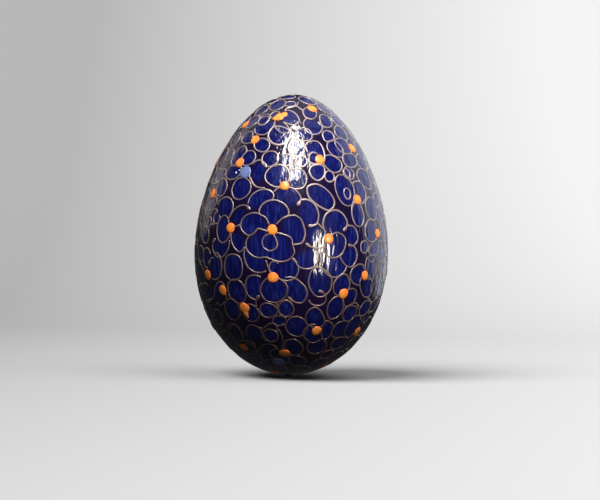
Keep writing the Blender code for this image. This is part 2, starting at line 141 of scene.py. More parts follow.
# Each flower: (longitude, height, ovals, lines). Both are laid out on the flat map around its dot.
# An oval: (direction in degrees, distance, half length, half width).
# A line: (kind, then the points it passes as right and up in millimetres).
FRONT_FLOWERS = (
    (27, 80.0, ((20, 5.6, 2.8, 2.8), (85, 5.2, 2.8, 2.8)), (
        (RING, (-0.6, 0.5), (-2, 0.3), (-3.2, -0.8), (-3.7, -2.4), (-3.3, -4), (-1.8, -4.7), (-0.4, -4),
         (0.6, -2.4), (0.6, -0.8)),
        (LINE, (-3.5, -0.6), (-4.2, 1), (-4.6, 2), (-6.2, 1.8), (-8, 2)),
        (HOOK, (-3.4, -4.2), (-4.8, -5.8), (-5.2, -7.8), (-4.6, -9.8), (-2.8, -10.8), (-0.8, -10.2),
         (0.5, -8.8), (0.9, -7.4), (-0.1, -5.7)),
        (RING, (1, -7.2), (2.8, -7.7), (4.6, -6.6), (5.5, -4.6), (5, -2.8), (3.4, -2.2), (1.6, -2.9),
         (0.9, -5)),
    )),
    (-17, 77.2, (), (
        (PETAL, (0.8, 2.6), (2.2, 2.9), (4, 2.2), (5.4, 0.8), (6.3, -0.8), (5.7, -2.3), (4, -2.9),
         (1.4, -2.1)),
        (LINE, (0.8, 2.6), (1.3, 3.9), (2.6, 4.6), (4, 5.6), (5.2, 4.8), (6.4, 4.1)),
        (LINE, (4, 5.5), (4, 8.4)),
        (LINE, (-1.1, -1.8), (-0.9, -3.4), (0, -4.9), (1.4, -6.1), (2.6, -6.5), (3.6, -6)),
        (PETAL, (1.4, -2.2), (3.2, -3.7), (4.5, -6), (4.5, -8.4), (3.2, -10.4), (1, -10.8), (-1.2, -9.6),
         (-2.2, -7.6), (-1.9, -5.6), (-1.1, -3.6)),
        (RING, (-4.9, 0.7), (-6.8, 0), (-7, -1.6), (-5.8, -2.8), (-4.2, -2.7), (-3.2, -1.2), (-3.5, 0.2)),
        (RING, (-2.6, 3), (-1, 3.6), (0.1, 5.2), (-0.1, 7.4), (-1.4, 9.2), (-3.4, 9.2), (-4.9, 7.4),
         (-4.7, 5), (-3.8, 3.6)),
    )),
    (-63, 75.0, ((70, 6.6, 2.6, 2.4), (190, 5.0, 2.6, 2.6)), ()),
    (-35, 70.1, (), (
        (PETAL, (-2, 4.4), (-1.1, 2.6), (0.8, 1.8), (2.6, 2), (3.8, 3.4), (4.2, 5.4), (4, 7.2)),
        (RING, (-2.2, 8.4), (-1.8, 6.6), (-0.4, 5.6), (1, 6), (1.6, 7.6), (1.2, 9.4), (-0.4, 10.2),
         (-1.8, 9.6)),
        (RING, (-2, 2.6), (-3.6, 3.2), (-5.4, 2.6), (-5.9, 0.9), (-4.8, -0.5), (-2.8, -1.2), (-1, -0.6)),
        (RING, (1, 0.2), (3, 0.5), (4.8, -0.3), (5.7, -1.9), (5.1, -3.7), (3.4, -4), (1.4, -3.2),
         (0.3, -1.6)),
        (RING, (3.7, 3.2), (4.2, 1.2), (5.8, -0.4), (8, -0.9), (10, 0), (11, 2), (10.8, 4.4), (9, 5.4),
         (6.4, 5.6), (4.4, 5)),
        (RING, (5, -4.4), (4.6, -6.2), (5.6, -8), (7.6, -8.6), (9.6, -7.6), (10.2, -5.6), (9, -3.9),
         (7, -3.4)),
    )),
    (57, 68.5, ((144, 8.8, 2.2, 3.0), (270, 9.8, 2.7, 2.8), (231, 10.3, 2.0, 2.0), (0, 4.8, 2.8, 2.8),
                (300, 5.0, 2.8, 2.8)), (
        (RING, (-1.6, 2.4), (-3, 3.2), (-4.6, 3.5), (-6.4, 2.8), (-7, 1.4), (-6.6, -0.4), (-5.2, -1.6),
         (-3, -1.9), (-1.2, -1.2)),
        (RING, (-5.4, -2), (-6.6, -3.4), (-6.7, -4.8), (-5.4, -6.2), (-3.4, -6.3), (-1.4, -5.6), (-0.2, -4),
         (-0.6, -2.4), (-2.4, -1.9)),
        (RING, (-3.6, 3.8), (-4.5, 5.2), (-3.8, 6.9), (-2, 8), (0, 7.6), (1, 6), (0.4, 4), (-1.2, 2.8)),
    )),
    (20, 64.5, ((148, 7.6, 2.9, 2.6),), (
        (RING, (-0.6, 6.3), (-2.8, 5.8), (-4.1, 4), (-4.4, 1.8), (-3.6, -0.3), (-1.8, -1.4), (1, -0.8),
         (1.7, 1.4), (1.6, 3.8), (0.8, 5.6)),
        (LINE, (-0.3, 1.8), (-1.6, 2.4), (-2.8, 1.6), (-3.3, 0), (-2.8, -1.5), (-1.2, -1.7)),
        (RING, (-0.4, -1.6), (-2.4, -2), (-3.6, -3.4), (-3.4, -5), (-2.2, -6.4), (-0.8, -6.5), (0.6, -5.3),
         (1.1, -3.6), (0.8, -2)),
        (PETAL, (1.7, 1.3), (3.6, 1.8), (5.8, 1.2), (7.3, -0.2), (7.2, -1.9), (5.8, -3.4), (3.8, -3.8),
         (2, -2.7), (0.9, -1.2)),
        (RING, (4.4, 2), (3.1, 3.8), (3.5, 5.8), (5.2, 7.2), (7.2, 6.9), (8.8, 5.4), (9, 3.4), (7.8, 1.8),
         (6, 1.5)),
        (RING, (3.2, 6.4), (2.4, 7.8), (2.7, 9.6), (4.2, 10.6), (6, 10.2), (6.6, 8.6), (5.6, 7.2)),
        (RING, (-3.4, 6.4), (-1.7, 6.9), (-1.1, 8.6), (-1.8, 10.4), (-3.8, 11.2), (-5.8, 10.2), (-6.2, 8.2),
         (-5.2, 6.8)),
        (RING, (7.6, -3), (8.2, -2), (9.4, -2), (10.4, -3), (10, -4.6), (9, -5.1), (8, -4.4)),
    )),
    (-42, 63.3, ((204, 8.5, 2.6, 2.0),), (
        (RING, (0.1, 1.6), (0.8, 3.2), (2.2, 4), (3.8, 3.7), (4.9, 2.6), (5.1, 1.2), (4.4, -0.2),
         (2.6, -0.9), (0.8, -0.4)),
        (RING, (-1, 5.6), (0.3, 5), (0.9, 3.6), (0.2, 2), (-0.3, 0), (-1.4, -1), (-3, -0.8), (-4.1, 0.4),
         (-4, 2.2), (-3.4, 3.8), (-2.4, 5)),
        (RING, (-3.6, -1.2), (-4.9, -2.6), (-4.2, -4.4), (-2, -5.4), (0.2, -5.1), (1.5, -3.8), (1.6, -2.2),
         (0.4, -1.2), (-1.6, -0.9)),
        (RING, (3, -4.8), (1, -5.4), (0, -7.2), (0.1, -9.2), (1.4, -11), (3.4, -11.6), (5.6, -10.8),
         (6.8, -9), (6.6, -7), (5.2, -5.4)),
        (DROP, (4.8, -0.4), (6, 0.9), (7.6, 1.1), (9, 0.4), (10.2, -0.9)),
        (LINE, (4.8, -3.8), (6.2, -5.4), (7.8, -6.9), (9.8, -7.4), (11.8, -7.2)),
        (WASH, (5.4, -0.4), (8.2, 0.2), (9.8, -2), (9.4, -4.6), (8.2, -6.2), (6, -4.2)),
    )),
    (-5, 56.6, (), (
        (RING, (-2.2, 6.6), (-4.6, 5.7), (-5.9, 4), (-5.9, 2.2), (-4.6, 0.6), (-2.4, -0.4), (0, 0.3),
         (1.1, 1.9), (1.2, 3.6), (0.3, 5.6)),
        (PETAL, (1.1, 4.6), (2.4, 5.4), (4.4, 5.3), (5.8, 4.3), (6.4, 2.7), (6.1, 0.8), (4.9, -0.5),
         (3, -0.8), (0.6, -0.2)),
        (HOOK, (-3.3, -2.1), (-2.2, -1), (-0.8, -0.4), (1.2, -0.4), (3.1, -1.1), (4.5, -2.6), (4.9, -4),
         (3.9, -5.9)),
        (PETAL, (-3.4, -4.2), (-3, -3.1), (-3.5, -2), (-5.2, -1.1), (-7.2, -1.1), (-9.2, -1.9),
         (-10.8, -3.3), (-11.5, -5.2)),
        (HOOK, (4.9, -4.1), (6.6, -3.8), (8.6, -4.5), (10.1, -6.1), (10.9, -8.4), (10.6, -10.5),
         (9.8, -11.3), (7.6, -11.8)),
        (DROP, (-2.1, 10.8), (-2.6, 9.4), (-2.5, 7.5)),
    )),
    (-62, 54.2, ((100, 5.4, 2.4, 2.8), (190, 5.2, 3.0, 3.0)), (
        (RING, (1.8, 3.6), (3, 4.6), (4.6, 4.6), (6.2, 3.2), (6.7, 1.4), (6, -0.2), (4.6, -0.8),
         (2.8, -0.4), (1.6, 1)),
        (RING, (-1.4, -1.4), (-2.2, -3.2), (-1.4, -4.8), (0.6, -5.2), (2.4, -4.6), (3.6, -3), (3.2, -1.4),
         (1, -0.9)),
    )),
    (45, 53.3, (), (
        (RING, (-4.6, 7.6), (-6.4, 6.8), (-7.4, 4.6), (-7.5, 2.4), (-6.8, 0), (-5.6, -1.5), (-4, -2),
         (-2.4, -1.5), (-1.2, 0.2), (-0.7, 1.8), (-0.6, 3.6), (-1, 5), (-2.4, 6.9)),
        (RING, (-3.4, 3.4), (-4.4, 2.9), (-4.8, 1.8), (-4.4, 0.5), (-3.6, 0), (-2.7, 0.6), (-2.4, 1.8),
         (-2.6, 2.8)),
        (PETAL, (-0.9, 4.8), (0.6, 5.5), (2.6, 5.6), (4.2, 4.4), (4.6, 2.6), (4.2, 0.8), (3.2, -0.4),
         (1.6, -1.2), (0.3, -1)),
        (RING, (-0.9, -0.9), (-2.2, -1.8), (-3, -3.6), (-2.9, -5.8), (-2, -7.6), (-0.6, -8.1), (0.8, -7.4),
         (1.7, -5.6), (1.7, -3.6), (0.8, -1.5)),
        (RING, (3.5, -0.9), (3.4, -2.8), (4, -4.8), (5.4, -5.9), (7.2, -5.8), (9, -4.4), (9.6, -2),
         (8.6, 0.2), (6.6, 1.1), (4.8, 0.6)),
        (RING, (-1.4, 6.3), (-2.6, 7.4), (-2.8, 8.8), (-1.8, 10), (-0.2, 10), (0.9, 8.6), (0.7, 7.2),
         (-0.2, 6.3)),
        (RING, (2.6, 6.2), (4.4, 4.4), (6.8, 3.6), (9, 4.4), (10, 6.6), (9, 9.2), (6.4, 10.2), (3.8, 9.6),
         (2.5, 8)),
    )),
    (-38, 44.2, (), (
        (DROP, (-1.4, 1.8), (-0.6, 3.8), (0.8, 5.6), (2.6, 6.6), (4.4, 6.7), (6.1, 5.5)),
        (LINE, (0.8, 0.7), (2, 0.5), (3.2, 1)),
        (WASH, (0.4, 2), (0.8, 4.2), (2.6, 5.6), (4.4, 5.4), (4, 3.8), (3, 2.2), (1.8, 1.2)),
        (RING, (-3, 3.7), (-4.7, 2.7), (-5.6, 0.8), (-5.5, -1.2), (-4.6, -3.4), (-2.8, -4.4), (-1, -3.6),
         (-0.2, -1.8), (-0.8, 1), (-1.5, 2.8)),
        (PETAL, (-0.9, 3.6), (-0.1, 5.4), (-0.4, 7.2), (-1.8, 8.7), (-4, 9.2), (-6.2, 8.4), (-7.3, 6.8)),
        (PETAL, (0.3, -1.6), (0.6, -3.6), (1.6, -5.4), (3.2, -6.8), (4.4, -6.7), (5.6, -5.4)),
        (HOOK, (-0.1, -3.6), (-0.2, -5.6), (-1.4, -7.6), (-3.4, -8.8), (-5.4, -8.4), (-7, -6.8),
         (-7.3, -4.8), (-6.1, -3)),
        (DROP, (-9.8, 0.7), (-8.6, 1.1), (-7.1, 1.1)),
        (LINE, (-11, 3.8), (-9.8, 5.2), (-8, 5.9), (-6.5, 5)),
    )),
    (-11, 43.9, (), (
        (PETAL, (-0.9, 1.4), (-2.2, 3.5), (-4.1, 4.6), (-4, 6.6), (-2.3, 8.2), (0.2, 8.7), (2.6, 7.9),
         (4.3, 6.2), (4.4, 4.4), (2.8, 3.4), (0.9, 1.4)),
        (PETAL, (-3.9, 4.5), (-6, 4.9), (-8.4, 4.3), (-10, 2.8), (-10.3, 0.9), (-9.2, -0.7), (-7.3, -1.7),
         (-5.7, -1.2), (-4.6, 0), (-3.8, 0.2), (-1, -0.6)),
        (PETAL, (-6.6, -1.5), (-7.8, -2.8), (-8.1, -4.6), (-7.4, -6.4), (-5.6, -7.8), (-3.6, -8.2),
         (-1.6, -8), (0.4, -8.7), (3, -9.2), (5.4, -8.4), (6.7, -6.6), (6.5, -5.2), (6.1, -4.1),
         (5.9, -2.8), (5.1, -1.9), (3.4, -1.3), (1.2, -0.8)),
        (RING, (-1.2, -1.4), (-2.5, -2.3), (-2.9, -3.8), (-2.2, -5.3), (-0.6, -6.1), (0.9, -5.6),
         (1.6, -4.4), (1.3, -3), (0.4, -1.5)),
        (PETAL, (3, 3.3), (4.5, 4.1), (6.4, 4.4), (8.2, 3.5), (9.2, 1.6), (9.8, -0.4), (9.6, -2),
         (8.9, -3.5), (7.4, -4), (6.1, -4.1)),
    )),
    (62, 43.6, ((10, 5.0, 3.0, 3.2), (285, 5.5, 3.0, 3.0), (55, 6.2, 3.0, 3.0)), (
        (PETAL, (-0.2, 1.6), (-1, 3.3), (-3, 4.2), (-5, 3.6), (-6.5, 1.8), (-6.8, -0.2), (-5.8, -2),
         (-4, -2.5), (-2, -2), (-0.6, -0.8)),
        (RING, (-5.7, -5.6), (-4.9, -4.1), (-3, -2.5), (-0.9, -1.8), (0.2, -3), (-0.6, -4.8), (-1.9, -6.5),
         (-4, -6.3)),
    )),
    (22, 41.7, (), (
        (HOOK, (-0.8, 1.2), (-1.7, 3.4), (-1.5, 5.2), (-0.8, 6.9), (0.9, 8.1), (3, 8.4), (5, 7.4),
         (6.2, 5.6), (6.3, 4.2), (5.6, 3.1), (4.7, 2.4)),
        (PETAL, (0.6, 0.8), (2.2, 1.8), (3.8, 1.6), (5.2, 0.6), (5.6, -0.9), (5.1, -2.8), (4.2, -4.4),
         (2.6, -5.3), (0.8, -5.4), (-0.8, -4.6), (-1.6, -3), (-1, -0.8)),
        (LINE, (-3.6, 4.7), (-2.4, 3.5), (-1.6, 2.8)),
        (WASH, (-6.4, 2.2), (-5.4, 3.8), (-3.6, 4), (-2.2, 2.6), (-1.6, 0.8), (-2.6, -1.6), (-4.6, -2),
         (-6.2, -1)),
        (DROP, (-0.8, -1), (-1.8, -2.2), (-3.4, -2.8), (-5.4, -2.4), (-7.1, -1.4)),
        (PETAL, (-10, -7.6), (-8.4, -8.7), (-6, -8.9), (-4.1, -8), (-3.2, -6.2), (-3.2, -4.4),
         (-3.8, -2.9)),
        (PETAL, (-1.7, -3.4), (-2.3, -5.4), (-2.2, -7.4), (-1.2, -9.4), (0.6, -10.9), (2.8, -11.2),
         (4.8, -10.4), (6, -8.8), (6.2, -7.6)),
        (PETAL, (3.5, -4.8), (4.7, -6.6), (6.3, -7.8), (8.2, -8.1), (9.7, -6.6), (10.2, -4.4), (9.4, -2.6),
         (8.6, -1.9)),
        (HOOK, (6.6, 4.1), (8.6, 3.9), (10, 2.6), (10.4, 0.4), (9.4, -1.3), (8, -1.8), (6.4, -1.6)),
    )),
    (-58, 30.4, ((90, 5.0, 2.8, 2.4), (180, 5.0, 3.0, 3.0), (245, 6.0, 2.8, 3.0)), ()),
    (49, 31.3, (), (
        (PETAL, (-0.2, 1.6), (-1.4, 3), (-3, 3.2), (-4.8, 2.4), (-5.9, 0.8), (-5.8, -0.8), (-4.8, -2.1),
         (-3.2, -2.8), (-1.5, -3)),
        (LINE, (-1.2, -0.4), (-1.8, -1.8), (-1.3, -3.6), (-0.2, -5.2), (1.2, -6.3), (3.2, -6.8), (5, -7.4),
         (7, -8.6)),
        (PETAL, (-0.4, -1.2), (1.8, -1), (3.6, -1.4), (5, -2.8), (5.1, -4.6), (4.2, -6.2), (2.6, -6.7)),
        (RING, (0.3, 1.4), (-0.1, 3.4), (0.6, 5.2), (2.8, 6), (4.9, 5.2), (6, 3.4), (5.9, 1.2), (4.8, -0.4),
         (3, -1)),
        (LINE, (0.8, 5), (2, 4.1), (3.2, 4), (4.4, 4.9)),
        (RING, (-2.4, 8.8), (-2.2, 7.2), (-1.2, 6.5), (0, 6.8), (0.9, 8), (0.6, 9.6), (-0.6, 10.2),
         (-1.8, 9.8)),
    )),
    (-10, 30.3, (), (
        (RING, (-1.4, -0.2), (-3, -1.6), (-3.8, -3.4), (-3.6, -5.2), (-2.4, -6.8), (-0.4, -7.5),
         (1.6, -7.2), (3.4, -5.8), (4.2, -3.8), (3.8, -2), (2.6, -0.9), (0.9, 0)),
        (PETAL, (-3.6, 0), (-5.8, 0.4), (-7.8, -0.4), (-8.7, -2.4), (-8.6, -4.6), (-7.4, -6.3),
         (-5.6, -7)),
        (DROP, (-5.4, -9.4), (-5.4, -7.4), (-4.3, -5.5)),
        (PETAL, (-2, 1.8), (-3.8, 1.2), (-5.8, 1.4), (-7.8, 2.7), (-9, 4.8), (-9.4, 7.2), (-8.6, 8.8)),
        (LINE, (-0.7, 1.3), (-1.4, 2.8), (-1.9, 4.2), (-2.2, 4.9)),
        (HOOK, (0.8, 0.2), (2.6, -0.8), (4.6, -0.9), (6.3, -0.2), (7.2, 1.2), (7.5, 2.6), (6.9, 4.2),
         (5.7, 5.7)),
        (HOOK, (3.4, 0), (5, 0.1), (6.6, -0.3), (8.2, -1.5), (9.6, -3), (10.2, -5), (9.6, -6.8),
         (8.4, -7.8), (6.8, -7.6), (5.4, -6.8), (4.2, -5.7)),
        (LINE, (0.9, -7.6), (1.1, -9.6)),
    )),
    (-45, 26.1, (), (
        (PETAL, (1.2, 1.4), (-0.2, 2.5), (-1.8, 2.1), (-3.4, 0.6), (-4.3, -1.6), (-5.6, -2.9), (-7.6, -3.5),
         (-9, -3.6)),
        (LINE, (1.2, -1.4), (0.6, -3.2), (-1, -4.3), (-2.6, -4.8), (-4, -3.8)),
        (RING, (5, 3.3), (3, 2.4), (2.2, 0.6), (2.4, -1.6), (3.8, -3.2), (5.6, -4), (7.4, -3.4),
         (8.5, -1.6), (8.5, 0.6), (7.2, 2.6)),
        (RING, (2, 8.6), (1.7, 6.4), (2.2, 4.4), (3.6, 3.2), (5.6, 3), (7.6, 4.2), (8.4, 6.2), (8.4, 8.4),
         (7.4, 10.2), (5, 10.8), (3, 10.2)),
        (PETAL, (-4.8, 3.4), (-3.2, 3), (-1.4, 3.4), (0, 5), (0.5, 7.2), (0.2, 9.2), (-1, 10.8),
         (-3, 11.2)),
        (DROP, (-3.6, 9.8), (-4.8, 8.8), (-6.1, 7.3)),
    )),
    (34, 26.0, (), (
        (RING, (-0.9, 5.7), (-2.6, 4.8), (-3.7, 3.2), (-3.7, 1.4), (-2.8, -0.2), (-0.6, -0.6), (1, 0.6),
         (1.8, 2.4), (1.2, 4.4), (0.2, 5.5)),
        (RING, (-1, -0.9), (-2.8, -1.2), (-4.2, -2.8), (-4.5, -4.6), (-4, -6.6), (-2.8, -8), (-1.2, -7.8),
         (0.2, -6.8), (0.9, -4.8), (0.4, -2.6)),
        (PETAL, (1.4, 1.1), (3, 1.5), (4.4, 0.9), (5, -0.6), (4.6, -2.4), (4.2, -3.1)),
        (DROP, (0.3, -1.8), (0.9, -3.4), (2.2, -3.9), (3.6, -3.4), (5, -2.9), (6.2, -3.5), (7.3, -5.1)),
        (RING, (3.4, -3.8), (1.9, -4.4), (1.3, -6.2), (2, -8), (3.8, -9), (5.8, -8.4), (6.8, -6.6),
         (5.8, -4.2)),
        (RING, (-9.6, 7.6), (-7, 6.6), (-5.1, 5), (-4.5, 3), (-4.8, 0.8), (-6.4, -1), (-8.8, -1.2),
         (-10.9, 0.4), (-12.2, 2.8), (-12, 5.6), (-11, 7.1)),
        (DROP, (-11.2, -2.6), (-10, -3.8), (-8, -4.1), (-6.2, -3.5), (-5.5, -2), (-6.1, -0.6), (-7.2, 0.2),
         (-8.5, 0.3)),
    )),
    (-30, 21.3, (), (
        (RING, (-4.5, 2.5), (-6.5, 1.5), (-7.6, -0.6), (-7.3, -2.8), (-5.6, -4.3), (-3.4, -4), (-2, -2.2),
         (-1.8, 0), (-2.8, 1.8)),
        (PETAL, (1.3, 1.2), (3, 0.9), (4.3, -0.6), (4.4, -2.4), (3.2, -4), (1.4, -4.4), (-0.2, -3.4),
         (-1, -1.4)),
        (PETAL, (-9.6, -8.6), (-8.2, -6.9), (-6.2, -5.8), (-4.4, -6.2), (-3.6, -8), (-3.8, -10)),
        (PETAL, (-1.7, -9.6), (-1.4, -7.6), (0, -5.9), (2, -5.6), (3.4, -6.8), (3.8, -9), (3.2, -10.8)),
        (LINE, (3.9, -7.4), (5.6, -6.2), (7.2, -5.4), (8.4, -5.4), (9.2, -7), (9.2, -9)),
    )),
    (20, 15.1, (), (
        (RING, (-2, 7.7), (-3.6, 6.6), (-4.2, 4.6), (-3.6, 2.4), (-2, 1.4), (0.4, 1), (1.8, 2.2),
         (1.7, 3.8), (0.6, 5.8), (-0.6, 7.1)),
        (RING, (-7.2, 4.2), (-5.2, 3.9), (-3.6, 2.6), (-2.9, 1), (-3.4, -1), (-4.8, -2.4), (-7, -2.3),
         (-8.8, -1.2), (-9.8, 0.8), (-9, 3.2)),
        (PETAL, (-0.6, 2.2), (-2.2, 1.9), (-3.5, 0.6), (-3.8, -1.2), (-2.9, -2.9), (-1.4, -4.1),
         (0.6, -4.3), (2, -3.2)),
        (RING, (2.2, 3.2), (3.8, 2.7), (5.1, 1.2), (5.1, -1), (4.4, -2.8), (3.2, -3.2), (2, -1.8),
         (1.5, 0.4)),
        (PETAL, (-1.3, -4.2), (-1.4, -6.2), (-0.6, -8.2), (1.2, -9.2), (3.4, -9), (4.8, -7.2), (4.6, -5.4),
         (3.4, -3.8), (2.2, -2.8)),
        (PETAL, (7.4, -3.3), (5.9, -2.6), (5.1, -0.8), (5.6, 1.2), (7, 2.5), (8.8, 2.6)),
        (RING, (-6, -3.8), (-3.9, -4.8), (-2.6, -6.8), (-2.8, -9), (-4.6, -10.6), (-6.8, -10.6), (-8.8, -9),
         (-9.2, -6.6), (-8, -4.6)),
    )),
    (61, 14.6, ((103, 8.2, 2.6, 2.8), (144, 10.8, 2.8, 3.0), (20, 5.0, 3.0, 3.0), (300, 5.0, 3.0, 3.0)), (
        (RING, (-0.8, 3), (-2.2, 4.6), (-4, 5.5), (-6, 4.8), (-6.9, 2.8), (-6.8, 0.6), (-5.6, -1.4),
         (-3.8, -2.1), (-1.8, -1.2)),
        (RING, (-6.4, -2.4), (-8.2, -3), (-8.6, -5), (-7.6, -6.9), (-5.6, -7.2), (-3.4, -6.4), (-2.3, -4.2),
         (-3.2, -2.3)),
    )),
    (-45, 9.5, ((30, 8.0, 3.2, 2.8), (150, 5.0, 3.0, 3.0), (210, 5.0, 3.0, 3.0), (275, 5.2, 2.8, 3.0)), (
        (RING, (0.2, 8.3), (1.9, 7.6), (2.7, 5.6), (2.1, 3.6), (0.4, 2.2), (-1.6, 2.4), (-2.7, 4.4),
         (-2, 6.8)),
        (LINE, (1.4, 2.8), (3.4, 2.4), (5, 1.4), (4.6, -0.4), (3.8, -2.2), (1.6, -3)),
    )),
    (-4, 8.3, (), (
        (RING, (0.3, 4.4), (1.8, 5.5), (3.6, 5.2), (4.9, 3.6), (5.6, 1.4), (4.8, -0.4), (3.4, -1.3),
         (1.6, -0.8), (0.3, 1)),
        (LINE, (-0.5, 1.4), (-0.3, 4), (-0.4, 6), (-0.9, 7.8), (-1.6, 9.4)),
        (HOOK, (-1.8, 1), (-2.6, 2.6), (-4.4, 3.2), (-6.2, 2.5), (-7.5, 0.8), (-7.9, -1.4), (-7.3, -4)),
        (LINE, (-2.4, 1.7), (-3.8, 0.8), (-4.4, -0.6), (-4.2, -2), (-3.4, -2.8)),
        (RING, (1.6, -1.4), (3.4, -1.5), (5, -2.4), (6.2, -4), (6.2, -6), (5, -7.4), (3, -7.2), (1.6, -5.4),
         (1.1, -3.2)),
        (LINE, (1.2, -4.4), (0, -6), (-1.2, -7.8), (-1.6, -9.4)),
        (LINE, (6, 7.6), (6.2, 5.8), (7.4, 4), (6.8, 2), (6.9, 0.2), (8.2, -1.4), (9.6, -2)),
        (DROP, (-7.4, 9.4), (-6.8, 7.4), (-6, 5.6), (-5.3, 4)),
    )),
    (-34, 1.9, ((40, 4.6, 2.2, 2.2), (150, 4.4, 2.2, 2.2)), ()),
)  # fmt: skip
# Lines that belong to no flower, laid out around a place of their own.
LOOSE_LINES = (
    (18, 53.6, (), (
        (RING, (-3.8, 2.9), (-1.5, 3.9), (0.7, 3.2), (2.7, 1.6), (4.1, -0.6), (3.9, -2.6), (2.4, -3.8),
         (0.6, -3.4), (-1.6, -2.1), (-3.6, 0)),
    )),
)  # fmt: skip
BACK_FLOWERS = (
    (105, 77.0), (-140, 83.6), (-118, 75.0),
    (98, 63.5), (143, 62.0), (188, 63.0), (-128, 62.0), (-84, 64.0),
    (104, 47.5), (142, 46.5), (180, 48.0), (-142, 47.0), (-103, 47.5),
    (88, 32.5), (124, 31.5), (161, 32.5), (-162, 31.5), (-126, 32.5), (-94, 31.0),
    (103, 16.5), (148, 16.0), (-168, 16.5), (-124, 16.0), (-86, 15.0),
    (62, 4.2), (-150, 4.4),
)  # fmt: skip


# ---------------------------------------------------------------- the egg's surface


def coat_profile(angle):
    """(radius, height) of the lacquer's outside at polar angles from the pointed end."""
    along = np.cos(angle)
    fullness = 1 + sum(share * along ** (power + 1) for power, share in enumerate(SHAPE))
    return GIRTH * np.sin(angle) * fullness, MIDDLE + HALF_LENGTH * along


def profile_slope(angle):
    """The unit tangent of the profile, towards the blunt end."""
    step = 1e-4
    radius_before, height_before = coat_profile(angle - step)
    radius_after, height_after = coat_profile(angle + step)
    across, down = radius_after - radius_before, height_after - height_before
    length = np.hypot(across, down)
    return across / length, down / length


def surface_at(turn, angle, lift=0.0):
    """Points on the egg, lift outside the lacquer, and the outward normals there. Turns are radians."""
    radius, height = coat_profile(angle)
    across, down = profile_slope(angle)
    out = np.stack([-down * np.sin(turn), down * np.cos(turn), across + 0.0 * turn], -1)
    middle = np.stack([radius * np.sin(turn), -radius * np.cos(turn), height + 0.0 * turn], -1)
    return middle + out * np.asarray(lift)[..., None], out


def nearest_on_coat(points):
    """(turn, angle) of the places on the lacquer nearest to these points."""
    across, height = np.hypot(points[..., 0], points[..., 1]), points[..., 2]
    angle = np.arccos(np.clip((height - MIDDLE) / HALF_LENGTH, -0.999, 0.999))
    for _ in range(12):
        radius, here = coat_profile(angle)
        slope = profile_slope(angle)
        angle = angle + ((across - radius) * slope[0] + (height - here) * slope[1]) / HALF_LENGTH
    return np.arctan2(points[..., 0], -points[..., 1]), angle


class Spot:
    """A place on the egg with its own flat map: right and up in millimetres over the surface."""

    def __init__(self, longitude, height):
        turn = math.radians(longitude)
        angle = math.acos((height - MIDDLE) / HALF_LENGTH)
        across, down = profile_slope(angle)
        sine, cosine = math.sin(turn), math.cos(turn)
        self.height = height
        self.middle = surface_at(np.array(turn), np.array(angle))[0]
        self.right = np.array([cosine, sine, 0.0])
        self.up = np.array([-across * sine, across * cosine, -down])

    def over(self, flat, lift=0.0):
        """Surface points and normals under an array of (right, up) map points."""
        points = self.middle + flat[:, :1] * self.right + flat[:, 1:] * self.up
        return surface_at(*nearest_on_coat(points), lift)

    def flat(self, points):
        """The (right, up) map points of places on the egg, with those on its far side sent far off."""
        away = points - self.middle
        flat = np.stack([away @ self.right, away @ self.up], -1)
        flat[np.linalg.norm(away, axis=1) > MAP_REACH] = 1e3
        return flat


def polar(direction, distance):
    return np.array([math.cos(math.radians(direction)), math.sin(math.radians(direction))]) * distance


# ---------------------------------------------------------------- the pattern


def smooth_curve(points, closed):
    """Points LINE_STEP apart along a smooth curve through the given (right, up) points."""
    points = np.array(points, float)
    if closed:
        before, after, later = (np.roll(points, -shift, axis=0) for shift in (-1, 1, 2))
        start = points
    else:
        padded = np.concatenate([2 * points[:1] - points[1:2], points, 2 * points[-1:] - points[-2:-1]])
        before, start, after, later = padded[:-3], padded[1:-2], padded[2:-1], padded[3:]
    share = np.linspace(0, 1, 12, endpoint=False)[None, :, None]
    before, start, after, later = (corner[:, None] for corner in (before, start, after, later))
    bend = 2 * before - 5 * start + 4 * after - later
    twist = 3 * start - before - 3 * after + later
    curve = (start + 0.5 * share * (after - before + share * (bend + share * twist))).reshape(-1, 2)
    curve = np.concatenate([curve, points[:1] if closed else points[-1:]])
    along = np.concatenate([[0.0], np.cumsum(np.linalg.norm(np.diff(curve, axis=0), axis=1))])
    count = max(6, round(along[-1] / LINE_STEP))
    marks = np.linspace(0, along[-1], count + 1)[: count if closed else None]
    return np.stack([np.interp(marks, along, curve[:, side]) for side in (0, 1)], -1)


class Line:
    """One contour line on a spot's flat map."""

    def __init__(self, spot, points, kind, cut):
        """kind says what sort of line it is, and cut whether it stops where it meets earlier petals."""
        self.spot, self.cut = spot, cut
        self.closed, self.petal, self.bulb = "closed" in kind, "petal" in kind, "bulb" in kind
        self.drawn = "hidden" not in kind
        self.path = smooth_curve(points, self.closed)
        self.middle = self.path.mean(axis=0)
        away = self.path - self.middle
        turns = np.arctan2(away[:, 1], away[:, 0])
        order = np.argsort(turns)
        self.turns, self.reaches = turns[order], np.linalg.norm(away, axis=1)[order]
        self.size = self.reaches.mean()
        self.points = spot.over(self.path)[0]

    def inside(self, points):
        """Below 1 for places on the egg that are inside the line, closing an open line straight across."""
        away = self.spot.flat(points) - self.middle
        turns = np.arctan2(away[:, 1], away[:, 0])
        return np.linalg.norm(away, axis=1) / np.interp(turns, self.turns, self.reaches, period=2 * math.pi)


